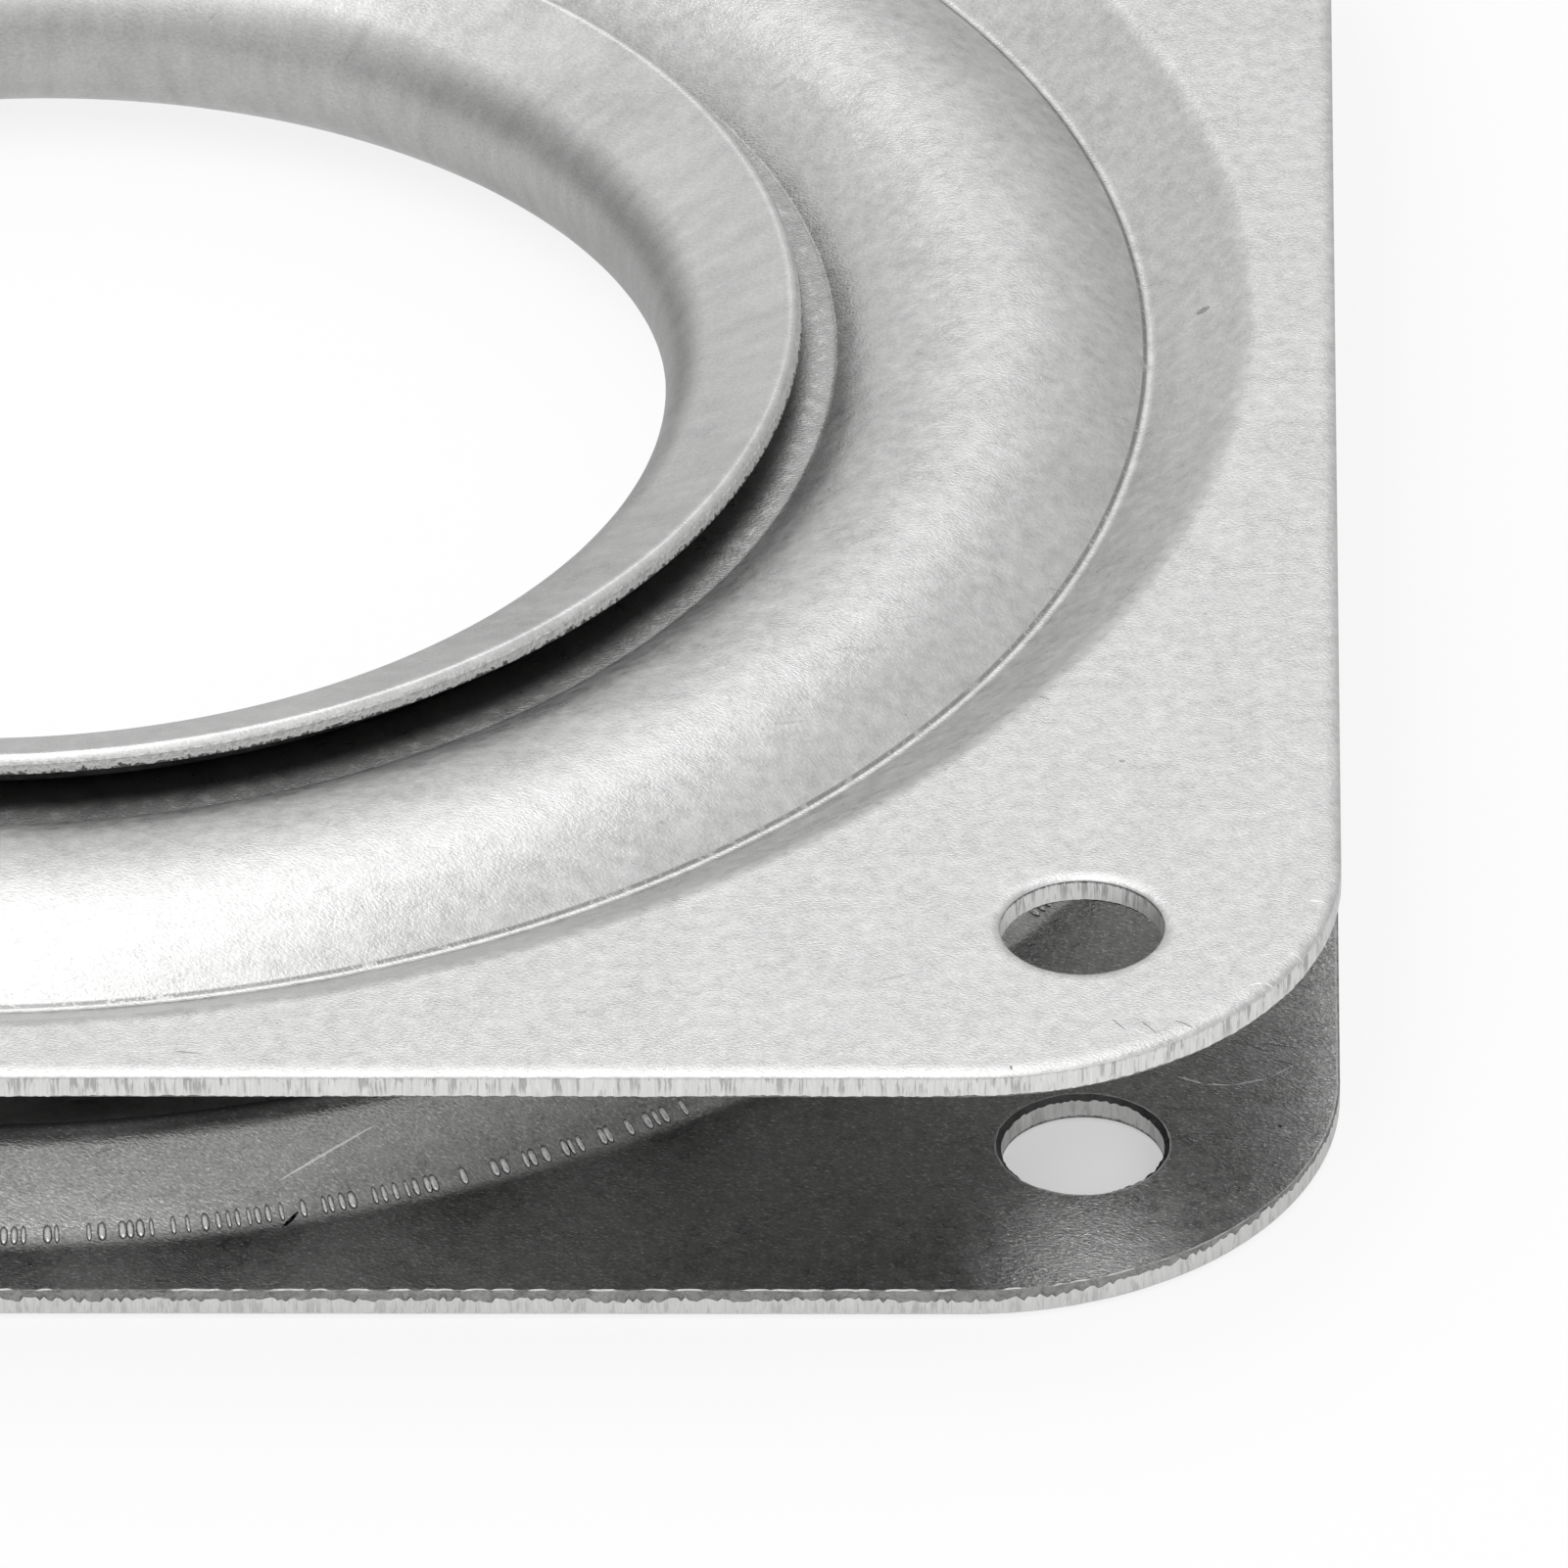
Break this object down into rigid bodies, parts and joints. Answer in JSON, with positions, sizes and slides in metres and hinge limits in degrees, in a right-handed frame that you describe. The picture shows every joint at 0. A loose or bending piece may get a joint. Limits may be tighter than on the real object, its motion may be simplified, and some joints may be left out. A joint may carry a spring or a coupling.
{
  "type": "lazy susan bearing",
  "caption": "Square pressed-steel lazy susan bearing whose plates turn against each other on a ring of loose balls, held together by a flared centre tube.",
  "frame": {"origin": "on the turning axis, in the plane of the lower plate's outer face, which the bearing rests on", "axes": "+Z along the turning axis, from the lower plate to the upper; X and Y along the sides of the square plates"},
  "size_m": [0.0762, 0.0762, 0.0082],
  "materials": {
    "plate_steel": "galvanised, satin with a fine mottle",
    "ball_steel": "ground and polished"
  },
  "bodies": {
    "lower": {"lower_plate": "plate_steel"},
    "upper": {"upper_plate": "plate_steel"},
    "ball_ring": {"ball_01": "ball_steel", "ball_02": "ball_steel", "ball_03": "ball_steel", "ball_04": "ball_steel", "ball_05": "ball_steel", "ball_06": "ball_steel", "ball_07": "ball_steel", "ball_08": "ball_steel", "ball_09": "ball_steel", "ball_10": "ball_steel", "ball_11": "ball_steel", "ball_12": "ball_steel", "ball_13": "ball_steel", "ball_14": "ball_steel", "ball_15": "ball_steel", "ball_16": "ball_steel", "ball_17": "ball_steel", "ball_18": "ball_steel", "ball_19": "ball_steel", "ball_20": "ball_steel", "ball_21": "ball_steel", "ball_22": "ball_steel", "ball_23": "ball_steel", "ball_24": "ball_steel", "ball_25": "ball_steel", "ball_26": "ball_steel"}
  },
  "joints": [
    {"name": "swivel", "type": "hinge", "parent": "lower", "child": "upper", "pos_m": [0, 0, 0.00409], "axis": [0, 0, 1], "continuous": true},
    {"name": "ball_travel", "type": "hinge", "parent": "lower", "child": "ball_ring", "pos_m": [0, 0, 0.00409], "axis": [0, 0, 1], "continuous": true}
  ],
  "couplings": [
    {"joint": "ball_travel", "follows": "swivel", "ratio": 0.5}
  ]
}
